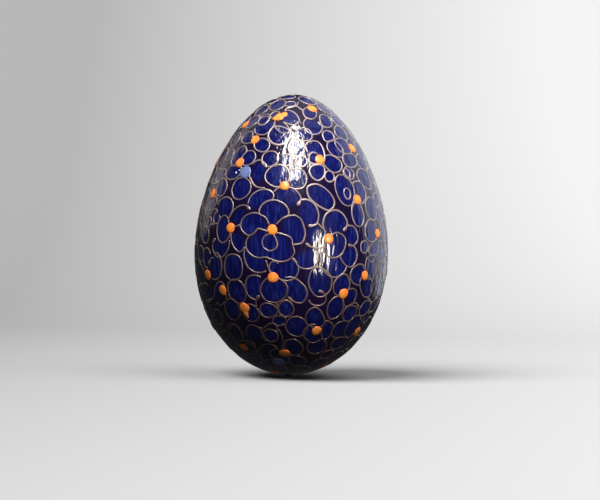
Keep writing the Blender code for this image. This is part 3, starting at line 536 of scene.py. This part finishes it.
def oval(spot, centre, long_axis, half_length, half_width, draws):
    """A closed line a little uneven, as a hand draws it."""
    turns = np.linspace(0, 2 * math.pi, OVAL_POINTS, endpoint=False)
    waves = draws.uniform(-1.0, 1.0, 4) * (0.05, 0.05, 0.035, 0.035)
    reach = 1 + sum(
        wave * shape(times * turns)
        for wave, shape, times in zip(waves, (np.cos, np.sin, np.cos, np.sin), (2, 2, 3, 3))
    )
    axis = np.array([math.cos(long_axis), math.sin(long_axis)])
    along = half_length * np.cos(turns) * reach
    across = half_width * np.sin(turns) * reach
    points = centre + along[:, None] * axis + across[:, None] * axis[::-1] * (-1, 1)
    return Line(spot, np.roll(points, draws.integers(OVAL_POINTS), axis=0), RING, cut=True)


def petal_ovals(spot, ovals, draws):
    return [
        oval(spot, polar(direction, distance), math.radians(direction), half_length, half_width, draws)
        for direction, distance, half_length, half_width in ovals
    ]


def without_doubles(fresh, lines):
    """The fresh ovals whose middle isn't deep inside a line of much the same size."""
    petals = [line for line in lines if line.petal]
    kept = []
    for line in fresh:
        middle = line.spot.over(line.middle[None])[0]
        if not any(petal.inside(middle)[0] < 0.5 and line.size > 0.5 * petal.size for petal in petals):
            kept.append(line)
    return kept


def invented_petals(draws):
    """The petals of a flower on the side that nobody has seen."""
    count = int(draws.choice([4, 5, 5, 5, 6]))
    first = draws.uniform(0, 360)
    petals = []
    for number in range(count):
        half_width = 14.4 / count + draws.uniform(-0.2, 0.3)
        half_length = draws.uniform(2.8, 3.7)
        petals.append((first + number * 360 / count, 1.7 + half_length, half_length, half_width))
    return tuple(petals)


def fill_gaps(lines, spots, draws):
    """Ovals in the gaps that the flowers leave, each as large as fits, the largest first."""
    turns = draws.uniform(-math.pi, math.pi, GAP_TRIES)
    angles = np.arccos(draws.uniform(-0.985, 0.995, GAP_TRIES))
    places = surface_at(turns, angles)[0]
    crowd = [line.points for line in lines] + [spot.middle[None] for spot in spots]
    room = room_around(places, np.concatenate(crowd))
    for line in lines:
        if line.petal:
            room[line.inside(places) < 1.0] = 0.0
    added = []
    while room.max() > LEAST_FILLER:
        best = int(room.argmax())
        radius = min(room[best] + 0.1, MOST_FILLER)
        spot = Spot(math.degrees(turns[best]), places[best][2])
        squash = draws.uniform(0.8, 1.0)
        line = oval(spot, np.zeros(2), draws.uniform(0, math.pi), radius, radius * squash, draws)
        added.append(line)
        room = np.minimum(room, room_around(places, line.points))
        room[np.linalg.norm(places - places[best], axis=1) < radius] = 0.0
    return added


def room_around(places, crowd):
    """How far each place is from the nearest of a crowd of points."""
    tree = kdtree.KDTree(len(crowd))
    for number, point in enumerate(crowd):
        tree.insert(Vector(point), number)
    tree.balance()
    return np.array([tree.find(Vector(place))[2] for place in places])


# ---------------------------------------------------------------- meshes


def make_object(name, points, faces):
    """A new smooth-shaded object, from points in millimetres."""
    mesh = bpy.data.meshes.new(name)
    mesh.from_pydata((np.asarray(points) * MM).tolist(), [], faces)
    mesh.validate()
    mesh.shade_smooth()
    obj = bpy.data.objects.new(name, mesh)
    bpy.context.scene.collection.objects.link(obj)
    return obj


def add_values(obj, name, values):
    attribute = obj.data.attributes.new(name, "FLOAT", "POINT")
    attribute.data.foreach_set("value", np.asarray(values, np.float32))


def grid_faces(rows, columns, closed_rows=False):
    """Quads of a grid of points kept row by row, whose columns close up."""
    quads = []
    for row in range(rows if closed_rows else rows - 1):
        here, there = row * columns, ((row + 1) % rows) * columns
        for column in range(columns):
            following = (column + 1) % columns
            quads.append((here + column, there + column, there + following, here + following))
    return quads


def capped_faces(rows, columns):
    """Faces of a tube of points kept row by row, with a cap on each end."""
    faces = [face[::-1] for face in grid_faces(rows, columns)]
    faces.append(tuple(range(columns)))
    last = (rows - 1) * columns
    faces.append(tuple(last + column for column in reversed(range(columns))))
    return faces


def covered(points, petals):
    """Which points of a line are inside petals. A line that is wholly inside one still shows."""
    hidden = np.zeros(len(points), bool)
    for petal in petals:
        inside = petal.inside(points) < LINE_STOP
        if not inside.all():
            hidden |= inside
    return hidden


def shown_runs(hidden):
    """The stretches of a closed line that show, each as a list of point numbers."""
    first = int(hidden.argmax())
    runs, run = [], []
    for step in range(first, first + len(hidden) + 1):
        number = step % len(hidden)
        if hidden[number]:
            if len(run) > LEAST_RUN:
                runs.append(run)
            run = []
        else:
            run.append(number)
    return runs


def bulb(count):
    """How much a stroke swells towards its last point, where the brush was lifted."""
    from_end = (count - 1 - np.arange(count)) * LINE_STEP
    return np.exp(-(((from_end - 0.85) / 0.75) ** 4)) * np.clip(from_end / 0.5, 0.1, 1.0)


class Beads:
    """Contour lines gathered into one mesh: half-round beads along paths on spots' maps."""

    # Across a bead: (share of the half width, share of the height).
    SECTION = np.array(
        ((-1.0, 0.0), (-0.86, 0.52), (-0.5, 0.88), (0.0, 1.0), (0.5, 0.88), (0.86, 0.52), (1.0, 0.0))
    )

    def __init__(self):
        self.points, self.faces, self.crowns, self.tones = [], [], [], []
        self.size = 0

    def add(self, spot, path, half_widths, heights, tone, closed):
        """Adds a line, with a half width and a height for each point of its path."""
        middle, out = spot.over(path)
        ahead = np.roll(middle, -1, axis=0) - np.roll(middle, 1, axis=0)
        if not closed:
            ahead[0], ahead[-1] = middle[1] - middle[0], middle[-1] - middle[-2]
        side = np.cross(out, ahead)
        side /= np.linalg.norm(side, axis=1)[:, None]
        spread = half_widths[:, None] * self.SECTION[:, 0]
        lift = LINE_FOOT + (heights[:, None] - LINE_FOOT) * self.SECTION[:, 1]
        rings = middle[:, None] + side[:, None] * spread[..., None] + out[:, None] * lift[..., None]
        count, across = rings.shape[:2]
        quads = grid_faces(count, across, closed)
        self.faces += [tuple(self.size + corner for corner in quad) for quad in quads]
        if not closed:
            self.faces.append(tuple(self.size + column for column in range(across)))
            last = self.size + (count - 1) * across
            self.faces.append(tuple(last + column for column in reversed(range(across))))
        self.points.append(rings.reshape(-1, 3))
        self.crowns.append(np.tile(self.SECTION[:, 1], count))
        self.tones.append(np.full(count * across, tone))
        self.size += count * across

    def add_line(self, line, earlier, draws):
        """Adds what shows of a line: a cut line stops where it meets the petals drawn earlier."""
        count = len(line.path)
        turns = np.linspace(0, 2 * math.pi, count, endpoint=False)
        swell = 1 + 0.12 * np.cos(turns + draws.uniform(0, 6))
        swell += 0.08 * np.cos(3 * turns + draws.uniform(0, 6))
        swell *= draws.uniform(0.88, 1.1)
        tone, bulb_draw = draws.uniform(size=2)
        petals = [other for other in earlier if other.petal] if line.cut else []
        hidden = covered(line.points, petals)
        if line.closed and not hidden.any():
            self.add(line.spot, line.path, LINE_WIDTH / 2 * swell, LINE_HEIGHT * swell, tone, True)
            return
        for run in shown_runs(hidden) if hidden.any() else [range(count)]:
            ends = np.minimum(np.arange(len(run)), np.arange(len(run))[::-1]) / 2.0
            shape = swell[run] * np.clip(0.6 + ends, None, 1.0)
            if line.bulb or (line.cut and bulb_draw < BULB_SHARE):
                shape = shape + bulb(len(run))
            heights = LINE_HEIGHT * np.sqrt(shape)
            self.add(line.spot, line.path[run], LINE_WIDTH / 2 * shape, heights, tone, False)

    def build(self, name):
        obj = make_object(name, np.concatenate(self.points), self.faces)
        add_values(obj, "crown", np.concatenate(self.crowns))
        add_values(obj, "tone", np.concatenate(self.tones))
        return obj


def make_dab(name, spot, radius, height, draws, place=(0.0, 0.0)):
    """A domed dab of paint with a slightly uneven edge, at a (right, up) place on the spot's map."""
    columns = 36
    turns = np.linspace(0, 2 * math.pi, columns, endpoint=False)
    edge = 1 + 0.035 * np.cos(2 * turns + draws.uniform(0, 6))
    edge += 0.025 * np.cos(3 * turns + draws.uniform(0, 6))
    spokes = np.stack([np.cos(turns), np.sin(turns)], -1) * (radius * edge)[:, None]
    middle = np.array(place)
    points = [spot.over(middle + spokes * max(share, 1e-3), height * rise)[0] for share, rise in DOME]
    obj = make_object(name, np.concatenate(points), capped_faces(len(DOME), columns))
    add_values(obj, "out", np.repeat([share for share, _ in DOME], columns))
    return obj


def make_coat(lines):
    """The lacquer: a fine skin with an attribute for how far inside a petal each place is."""
    angles = np.linspace(1e-3, math.pi - math.asin(HOLE_RADIUS / GIRTH), COAT_ROWS)
    turns = np.linspace(-math.pi, math.pi, COAT_COLUMNS, endpoint=False)
    places = surface_at(*np.meshgrid(turns, angles))[0].reshape(-1, 3)
    depth = np.full(len(places), 9.0)
    tint = np.zeros(len(places))
    draws = np.random.default_rng(SEED + 1)
    for line in lines:
        if line.petal:
            inside = line.inside(places)
            tint[inside < depth] = draws.uniform()
            depth = np.minimum(depth, inside)
    faces = grid_faces(COAT_ROWS, COAT_COLUMNS)
    faces.append(tuple(reversed(range(COAT_COLUMNS))))
    obj = make_object("lacquer", places, faces)
    add_values(obj, "petal", np.clip((1.0 - depth) / PETAL_FADE, 0, 1))
    add_values(obj, "tint", tint)
    return obj


def make_plug():
    """The plug of the blow hole: the painted nub outside, its stem, and the flange inside the shell."""
    columns = 48
    turns = np.linspace(0, 2 * math.pi, columns, endpoint=False)
    points = [
        np.stack([radius * np.sin(turns), -radius * np.cos(turns), height + 0 * turns], -1)
        for radius, height in PLUG_PROFILE
    ]
    return make_object("nub", np.concatenate(points), capped_faces(len(points), columns))


# ---------------------------------------------------------------- materials


class Paint:
    """A material with a Principled shader, and short ways to add and link nodes."""

    def __init__(self, name, **sockets):
        self.material = bpy.data.materials.new(name)
        self.material.use_nodes = True
        self.tree = self.material.node_tree
        self.tree.nodes.clear()
        self.shader = self.tree.nodes.new("ShaderNodeBsdfPrincipled")
        output = self.tree.nodes.new("ShaderNodeOutputMaterial")
        self.tree.links.new(self.shader.outputs[0], output.inputs[0])
        for socket, value in sockets.items():
            self.shader.inputs[socket.replace("_", " ").title().replace("Ior", "IOR")].default_value = value

    def node(self, kind, *inputs, **settings):
        """Adds a node. Each input is a socket to link, a value, or None to leave alone."""
        node = self.tree.nodes.new(kind)
        for setting, value in settings.items():
            setattr(node, setting, value)
        for socket, value in zip(node.inputs, inputs):
            if isinstance(value, bpy.types.NodeSocket):
                self.tree.links.new(value, socket)
            elif value is not None:
                socket.default_value = value
        return node.outputs[0]

    def attribute(self, name):
        node = self.tree.nodes.new("ShaderNodeAttribute")
        node.attribute_name = name
        return node.outputs["Fac"]

    def noise(self, scale, stretch=(1, 1, 1), detail=2.0, roughness=0.5):
        """Noise over the object, scaled per metre and squeezed along each axis."""
        place = self.node("ShaderNodeTexCoord").node.outputs["Object"]
        mapped = self.node("ShaderNodeMapping", place, None, None, stretch)
        node = self.tree.nodes.new("ShaderNodeTexNoise")
        self.tree.links.new(mapped, node.inputs["Vector"])
        node.inputs["Scale"].default_value = scale
        node.inputs["Detail"].default_value = detail
        node.inputs["Roughness"].default_value = roughness
        return node.outputs["Fac"]

    def along(self, axis):
        """How far along the object's X, Y or Z axis (0, 1 or 2) a place is, in metres."""
        place = self.node("ShaderNodeTexCoord").node.outputs["Object"]
        return self.node("ShaderNodeSeparateXYZ", place).node.outputs[axis]

    def math(self, operation, *inputs):
        return self.node("ShaderNodeMath", *inputs, operation=operation)

    def between(self, value, low, high):
        """value taken from low..high to 0..1, and held there."""
        return self.node("ShaderNodeMapRange", value, low, high, 0.0, 1.0)

    def mix(self, share, first, second):
        node = self.tree.nodes.new("ShaderNodeMix")
        node.data_type = "RGBA"
        for socket, value in ((node.inputs[0], share), (node.inputs[6], first), (node.inputs[7], second)):
            if isinstance(value, bpy.types.NodeSocket):
                self.tree.links.new(value, socket)
            else:
                socket.default_value = value if socket is node.inputs[0] else (*value, 1.0)
        return node.outputs[2]

    def bump(self, height, distance, strength=1.0):
        node = self.tree.nodes.new("ShaderNodeBump")
        node.inputs["Strength"].default_value = strength
        node.inputs["Distance"].default_value = distance
        self.tree.links.new(height, node.inputs["Height"])
        return node.outputs["Normal"]

    def drive(self, socket, value):
        self.tree.links.new(value, self.shader.inputs[socket])


def lacquer_paint():
    """Deep navy lacquer: blue inside the petals, purple-black between, brush streaks partly painted sheen.
    """
    paint = Paint(
        "navy lacquer", roughness=0.4, coat_weight=1.0, coat_roughness=0.13, coat_ior=1.58, ior=1.14
    )
    streaks = paint.noise(1500, (1, 1, 0.05), 4.0, 0.6)
    clouds = paint.noise(110, (1, 1, 0.6), 3.0)
    between = paint.mix(clouds, (0.003, 0.001, 0.012), (0.009, 0.003, 0.034))
    petal = paint.mix(clouds, (0.0006, 0.0012, 0.04), (0.0015, 0.004, 0.1))
    # Paler streaks in the petals: brush strokes, and partly a painted reflection of light in their grooves.
    strokes_and_sheen = paint.math("MULTIPLY", paint.between(streaks, 0.47, 0.7), 0.8)
    petal = paint.mix(strokes_and_sheen, petal, (0.022, 0.032, 0.2))
    petal = paint.mix(paint.math("MULTIPLY", paint.attribute("tint"), 0.35), petal, (0.0005, 0.001, 0.05))
    paint.drive("Base Color", paint.mix(paint.attribute("petal"), between, petal))
    relief = paint.math("ADD", streaks, paint.noise(420, detail=3.0))
    paint.drive("Normal", paint.bump(relief, 0.00006, 0.5))
    brushed = paint.noise(560, (1, 1, 0.2), 2.0)
    paint.drive("Coat Normal", paint.bump(brushed, 0.00038, 0.85))
    return paint.material


def contour_paint():
    """Copper-gold contour paint: brown at the feet of a line, and darker low on the egg as painted shade.
    """
    paint = Paint("copper-gold contour", metallic=0.75, coat_weight=1.0, coat_roughness=0.22, ior=1.4)
    grain = paint.noise(2600, detail=3.0)
    tone = paint.mix(paint.attribute("tone"), (0.38, 0.3, 0.295), (0.53, 0.46, 0.48))
    tone = paint.mix(paint.math("MULTIPLY", paint.noise(300), 0.6), tone, (0.25, 0.15, 0.14))
    # Painted shade: the lines darken towards the bottom of the egg, where less light reaches.
    tone = paint.mix(paint.between(paint.along(2), 0.018, 0.056), (0.2, 0.12, 0.11), tone)
    crown = paint.between(paint.attribute("crown"), 0.1, 0.75)
    paint.drive("Base Color", paint.mix(crown, (0.1, 0.045, 0.04), tone))
    paint.drive("Roughness", paint.math("MULTIPLY_ADD", grain, 0.25, 0.38))
    paint.drive("Normal", paint.bump(grain, 0.00005, 0.5))
    return paint.material


def dab_paint(name, middle, rim, fleck):
    """Opaque paint in a dab: lighter where it piles up, with a little unevenness."""
    paint = Paint(name, coat_weight=0.35, coat_roughness=0.2, ior=1.48)
    mottle = paint.noise(900, detail=3.0)
    out = paint.between(paint.attribute("out"), 0.45, 1.0)
    colour = paint.mix(out, middle, rim)
    flecks = paint.math("MULTIPLY", paint.between(mottle, 0.5, 0.75), 0.5)
    paint.drive("Base Color", paint.mix(flecks, colour, fleck))
    paint.drive("Roughness", paint.math("MULTIPLY_ADD", mottle, 0.2, 0.3))
    paint.drive("Normal", paint.bump(mottle, 0.00008, 0.4))
    return paint.material


def nub_paint():
    """The nub under the same lacquer, thicker and duller than on the shell."""
    paint = Paint("nub lacquer", coat_weight=0.7, coat_roughness=0.18, ior=1.45)
    clouds = paint.noise(900, detail=3.0)
    paint.drive("Base Color", paint.mix(clouds, (0.004, 0.003, 0.014), (0.012, 0.01, 0.05)))
    paint.drive("Roughness", paint.math("MULTIPLY_ADD", clouds, 0.3, 0.3))
    paint.drive("Normal", paint.bump(clouds, 0.0001, 0.5))
    return paint.material


def shell_paint():
    """Bare goose eggshell: chalky off-white with fine pores."""
    paint = Paint("goose eggshell", specular_ior_level=0.3)
    clouds, pores = paint.noise(60, detail=3.0), paint.noise(1800, detail=2.0)
    chalk = paint.mix(clouds, (0.8, 0.76, 0.67), (0.9, 0.87, 0.8))
    paint.drive("Base Color", paint.mix(paint.between(pores, 0.66, 0.8), chalk, (0.6, 0.55, 0.46)))
    paint.drive("Roughness", paint.math("MULTIPLY_ADD", clouds, 0.2, 0.6))
    paint.drive("Normal", paint.bump(pores, 0.0001, 0.5))
    return paint.material


def membrane_paint():
    """Dried shell membrane: papery, a little yellow, with a felt of fine fibres."""
    paint = Paint("dried membrane", sheen_weight=0.2, specular_ior_level=0.3)
    fibres, clouds = paint.noise(1400, (1, 0.25, 1), 4.0), paint.noise(80)
    felt = paint.math("MULTIPLY", fibres, clouds)
    paint.drive("Base Color", paint.mix(felt, (0.84, 0.78, 0.62), (0.93, 0.9, 0.83)))
    paint.drive("Roughness", paint.math("MULTIPLY_ADD", fibres, 0.2, 0.65))
    paint.drive("Normal", paint.bump(fibres, 0.00008, 0.6))
    return paint.material


def studio_paint():
    """The pale floor and backdrop, with painted light: grey to the left, near white to the right."""
    paint = Paint("studio paper", specular_ior_level=0.2)
    # Painted light falloff across the studio: darker to the left, brighter to the right.
    side = paint.between(paint.along(0), -0.15, 0.18)
    paint.drive("Base Color", paint.mix(side, (0.46, 0.46, 0.46), (0.93, 0.93, 0.93)))
    paint.drive("Roughness", paint.math("MULTIPLY_ADD", paint.noise(90), 0.1, 0.8))
    return paint.material


# ---------------------------------------------------------------- the egg


def dress(obj, material):
    """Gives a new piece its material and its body."""
    obj.data.materials.append(material)
    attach(obj, "root")


def make_lines(spots, flowers, draws):
    """Every contour line: those listed one by one, then the ovals that stop at them, then the fillers."""
    lines = [
        Line(spot, points, kind, cut=False)
        for spot, (_, _, _, drawn) in zip(spots, flowers)
        for kind, *points in drawn
    ]
    for spot, (_, _, ovals, _) in zip(spots, flowers):
        lines += without_doubles(petal_ovals(spot, ovals, draws), lines)
    return lines + fill_gaps(lines, spots, draws)


def make_tracery(lines, draws):
    """The contour lines as three nets."""
    contour = contour_paint()
    for zone, lowest, highest in ZONES:
        beads = Beads()
        for number, line in enumerate(lines):
            if line.drawn and lowest <= line.spot.height < highest:
                beads.add_line(line, lines[:number], draws)
        tracery = beads.build(f"contour_lines_{zone}")
        dress(tracery, contour)
        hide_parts(f"tracery_{zone}")


def make_orange_dots(dots, draws):
    """A dot in the middle of each flower, and the smears beside two of them."""
    orange = dab_paint("orange paint", (1.0, 0.32, 0.045), (0.85, 0.15, 0.02), (1.0, 0.42, 0.09))
    for number, dot in enumerate(dots, 1):
        radius = DOT_RADIUS * draws.uniform(0.9, 1.05)
        dab = make_dab(f"orange_dot_{number:02d}", dot, radius, DOT_HEIGHT, draws)
        dress(dab, orange)
        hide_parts(f"dot_{number:02d}")
    for number, blots in SMEARS:
        for count, (right, up, radius) in enumerate(blots, 1):
            name = f"orange_smear_{number:02d}_{count}"
            smear = make_dab(name, dots[number - 1], radius, SMEAR_HEIGHT, draws, (right, up))
            dress(smear, orange)


def make_blue_dots(draws):
    """The pale-blue dab with its white specks, and a stronger blue dot low on the egg."""
    blue = dab_paint("pale blue paint", (0.15, 0.2, 0.42), (0.1, 0.13, 0.33), (0.2, 0.27, 0.48))
    dab = make_dab("pale_blue_dot", Spot(*BLUE_DAB), BLUE_DAB_RADIUS, DOT_HEIGHT, draws)
    dress(dab, blue)
    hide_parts("pale_blue_dab")
    low_blue = dab_paint("low blue paint", (0.24, 0.3, 0.72), (0.16, 0.2, 0.55), (0.3, 0.38, 0.8))
    low = make_dab("low_blue_dot", Spot(*LOW_BLUE_DAB), LOW_BLUE_RADIUS, LOW_BLUE_HEIGHT, draws)
    dress(low, low_blue)
    white = dab_paint("white specks", (0.75, 0.76, 0.8), (0.5, 0.52, 0.6), (0.8, 0.8, 0.85))
    for number, (longitude, height, radius) in enumerate(WHITE_SPECKS, 1):
        speck = make_dab(f"white_speck_{number}", Spot(longitude, height), radius, SPECK_HEIGHT, draws)
        dress(speck, white)


def make_egg():
    draws = np.random.default_rng(SEED)
    flowers = list(FRONT_FLOWERS)
    flowers += [(longitude, height, invented_petals(draws), ()) for longitude, height in BACK_FLOWERS]
    dots = [Spot(longitude, height) for longitude, height, _, _ in flowers]
    loose = [Spot(longitude, height) for longitude, height, _, _ in LOOSE_LINES]
    lines = make_lines(dots + loose, flowers + list(LOOSE_LINES), draws)

    coat = make_coat(lines)
    dress(coat, lacquer_paint())
    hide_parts("lacquer_coat")
    make_tracery(lines, draws)
    make_orange_dots(dots, draws)
    make_blue_dots(draws)
    nub = make_plug()
    dress(nub, nub_paint())
    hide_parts("blow_hole_plug")

    membrane = membrane_paint()
    inside = (("eggshell", shell_paint()), ("outer_membrane", membrane), ("inner_membrane", membrane))
    for node, material in inside:
        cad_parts[node].data.materials.clear()
        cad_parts[node].data.materials.append(material)


# ---------------------------------------------------------------- the studio


def make_studio():
    """A pale sweep: a floor under the egg that curves up into a backdrop far behind it."""
    half_width, front, back, bend, top = 3.0, -2.2, 1.0, 0.7, 3.0
    steps = 16
    outline = [(front, 0.0), (back - bend, 0.0)]
    for step in range(1, steps + 1):
        turn = math.pi / 2 * step / steps
        outline.append((back - bend + bend * math.sin(turn), bend - bend * math.cos(turn)))
    outline.append((back, top))
    points = [(side * half_width / MM, y / MM, z / MM) for y, z in outline for side in (-1, 1)]
    faces = [(2 * i, 2 * i + 1, 2 * i + 3, 2 * i + 2) for i in range(len(outline) - 1)]
    sweep = make_object("studio_sweep", points, faces)
    sweep.data.materials.append(studio_paint())
    sweep.visible_glossy = False
    sweep.visible_diffuse = False
    sweep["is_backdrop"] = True
    return sweep


def softbox(lit, name, azimuth, elevation, distance, size, radiance, colour, matt, glossy):
    """An oval area light aimed at the egg that lights only the collection lit."""
    light = bpy.data.lights.new(name, "AREA")
    light.shape = "ELLIPSE"
    light.size, light.size_y = size
    light.energy = radiance * math.pi * size[0] * size[1]
    light.color = colour
    obj = bpy.data.objects.new(name, light)
    bpy.context.scene.collection.objects.link(obj)
    turn, rise = math.radians(azimuth), math.radians(elevation)
    out = Vector((math.sin(turn) * math.cos(rise), -math.cos(turn) * math.cos(rise), math.sin(rise)))
    middle = Vector((0, 0, MIDDLE * MM))
    aim = out.to_track_quat("Z", "Y").to_matrix().to_4x4()
    obj.matrix_world = Matrix.Translation(middle + out * distance) @ aim
    obj.visible_camera, obj.visible_diffuse, obj.visible_glossy = False, matt, glossy
    obj.light_linking.receiver_collection = lit
    obj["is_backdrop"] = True


def light_studio(sweep):
    """Soft light. The egg and the sweep have lights of their own, so that neither floods the other."""
    egg, studio = bpy.data.collections.new("egg"), bpy.data.collections.new("studio")
    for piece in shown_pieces():
        egg.objects.link(piece)
    studio.objects.link(sweep)
    world = bpy.data.worlds.new("studio")
    world.use_nodes = True
    world.node_tree.nodes["Background"].inputs[0].default_value = (0.03, 0.03, 0.032, 1)
    bpy.context.scene.world = world
    for light in EGG_LIGHTS:
        softbox(egg, *light)
    for light in STUDIO_LIGHTS:
        softbox(studio, *light)


def make_camera():
    camera = bpy.data.cameras.new("camera")
    camera.lens = CAMERA_LENS
    camera.clip_start, camera.clip_end = 0.01, 20.0
    obj = bpy.data.objects.new("camera", camera)
    bpy.context.scene.collection.objects.link(obj)
    upright = Matrix.Rotation(math.pi / 2, 4, "X")
    roll = Matrix.Rotation(math.radians(CAMERA_ROLL), 4, "Z")
    obj.matrix_world = Matrix.Translation(CAMERA_PLACE) @ upright @ roll
    bpy.context.scene.camera = obj


make_egg()
light_studio(make_studio())
make_camera()
bpy.context.scene.view_settings.view_transform = "Standard"
